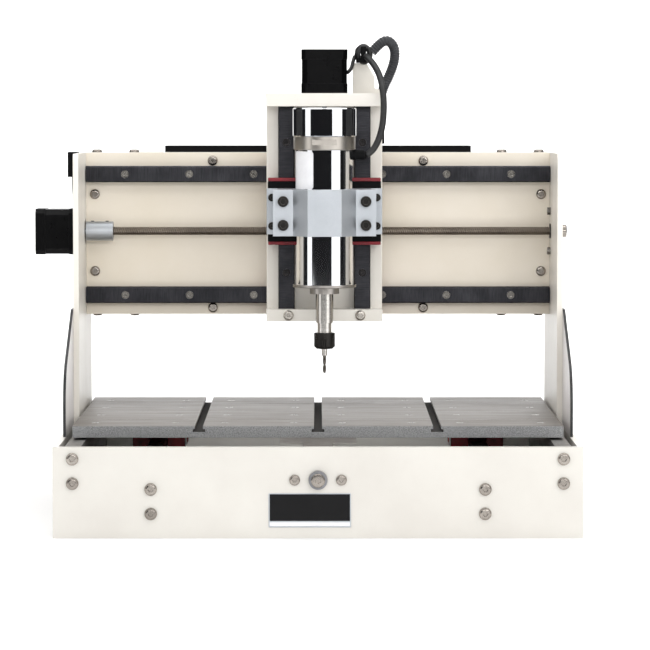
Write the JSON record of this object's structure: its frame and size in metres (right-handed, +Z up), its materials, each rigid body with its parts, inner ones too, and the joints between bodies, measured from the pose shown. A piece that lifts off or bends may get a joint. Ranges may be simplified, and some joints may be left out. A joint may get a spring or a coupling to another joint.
{
  "type": "benchtop cnc router",
  "caption": "Benchtop CNC router: fixed gantry over a moving T-slot table, with profile rails, drive screws and a clamped cylindrical spindle.",
  "frame": {"origin": "on the bench, under the middle of the base box's footprint", "axes": "+X to the right as the operator faces the machine, +Y to the back, +Z up"},
  "size_m": [0.494, 0.4113, 0.4343],
  "materials": {
    "cream_powder_coat": "satin ivory powder coat",
    "cream_sheet": "satin ivory coating on thin sheet with dark cut edges",
    "black_anodised": "satin black anodised",
    "grey_milled": "finely milled plate",
    "silver_anodised": "bead-blasted silver anodised",
    "polished_steel": "polished tube",
    "ground_steel": "ground",
    "screw_steel": "stainless fasteners",
    "leadscrew_steel": "rolled thread, lightly oiled",
    "rail_steel": "black-coated profile rail",
    "carriage": "steel block with red seals and black end caps",
    "black_paint": "black motor case with silver end caps",
    "dark_steel": "black oxide",
    "black_plastic": "moulded",
    "nameplate_sheet": "black plate with a silver border, left blank",
    "cable_jacket": "black jacket",
    "carbide": "ground carbide"
  },
  "bodies": {
    "base": {"front_panel": "cream_powder_coat", "back_panel": "cream_powder_coat", "side_panels": "cream_powder_coat", "base_beams": "grey_milled", "base_screws": "screw_steel", "nameplate": "nameplate_sheet", "y_rails": "rail_steel", "y_motor": "black_paint", "y_front_bearing": "dark_steel", "gantry_plates": "cream_sheet", "side_guards": "cream_sheet", "beam_front_plate": "cream_powder_coat", "beam_flanges": "cream_powder_coat", "beam_ribs": "cream_powder_coat", "gantry_screws": "screw_steel", "small_cap_screws": "screw_steel", "cable_tray": "black_anodised", "x_rails": "rail_steel", "x_motor": "black_paint", "x_end_bearing": "dark_steel", "connector_box": "black_plastic", "x_motor_cable": "cable_jacket"},
    "table": {"y_carriages": "carriage", "y_nut_block": "grey_milled", "table_base_plate": "grey_milled", "inner_table_strips": "grey_milled", "outer_table_strips": "grey_milled", "table_screws": "screw_steel"},
    "y_screw": {"y_coupling": "silver_anodised", "y_leadscrew": "leadscrew_steel"},
    "cross_slide": {"x_carriages": "carriage", "x_nut_block": "grey_milled", "z_axis_plate": "cream_powder_coat", "z_top_plate": "cream_powder_coat", "z_bottom_plate": "cream_powder_coat", "z_plate_screws": "screw_steel", "z_rails": "rail_steel", "z_motor": "black_paint", "cable_bracket": "cream_powder_coat", "cable_clips": "black_plastic", "z_motor_cable": "cable_jacket", "cable_conduit": "cable_jacket"},
    "x_screw": {"x_coupling": "silver_anodised", "x_leadscrew": "leadscrew_steel"},
    "z_slide": {"z_carriages": "carriage", "z_nut_block": "grey_milled", "z_slide_plate": "silver_anodised", "clamp_rear_half": "silver_anodised", "clamp_front_half": "silver_anodised", "slide_screws": "dark_steel", "spindle_body": "polished_steel", "spindle_top_cap": "polished_steel", "spindle_connector": "dark_steel", "spindle_cable": "cable_jacket"},
    "z_screw": {"z_coupling": "silver_anodised", "z_leadscrew": "leadscrew_steel"},
    "spindle_rotor": {"spindle_shaft": "ground_steel", "collet_nut": "dark_steel", "collet": "ground_steel", "end_mill": "carbide"}
  },
  "joints": [
    {"name": "table_slide", "type": "slide", "parent": "base", "child": "table", "axis": [0, 1, 0], "range_m": [-0.13, 0.065]},
    {"name": "y_screw_spin", "type": "hinge", "parent": "base", "child": "y_screw", "pos_m": [0, 0, 0.05], "axis": [0, 1, 0], "range_deg": [-5880, 2940]},
    {"name": "cross_slide_travel", "type": "slide", "parent": "base", "child": "cross_slide", "axis": [1, 0, 0], "range_m": [-0.155, 0.145]},
    {"name": "x_screw_spin", "type": "hinge", "parent": "base", "child": "x_screw", "pos_m": [0, 0.095, 0.253], "axis": [1, 0, 0], "range_deg": [-7010, 6560]},
    {"name": "z_slide_travel", "type": "slide", "parent": "cross_slide", "child": "z_slide", "axis": [0, 0, 1], "range_m": [-0.036, 0.06], "deforming": ["spindle_cable"]},
    {"name": "z_screw_spin", "type": "hinge", "parent": "cross_slide", "child": "z_screw", "pos_m": [0.0059, 0.059, 0.27], "axis": [0, 0, 1], "range_deg": [-1630, 2720]},
    {"name": "spindle_spin", "type": "hinge", "parent": "z_slide", "child": "spindle_rotor", "pos_m": [0.0059, 0.007, 0.15], "axis": [0, 0, 1], "continuous": true}
  ],
  "couplings": [
    {"joint": "y_screw_spin", "follows": "table_slide", "rad_per_m": 785.4},
    {"joint": "x_screw_spin", "follows": "cross_slide_travel", "rad_per_m": 785.4},
    {"joint": "z_screw_spin", "follows": "z_slide_travel", "rad_per_m": 785.4}
  ]
}
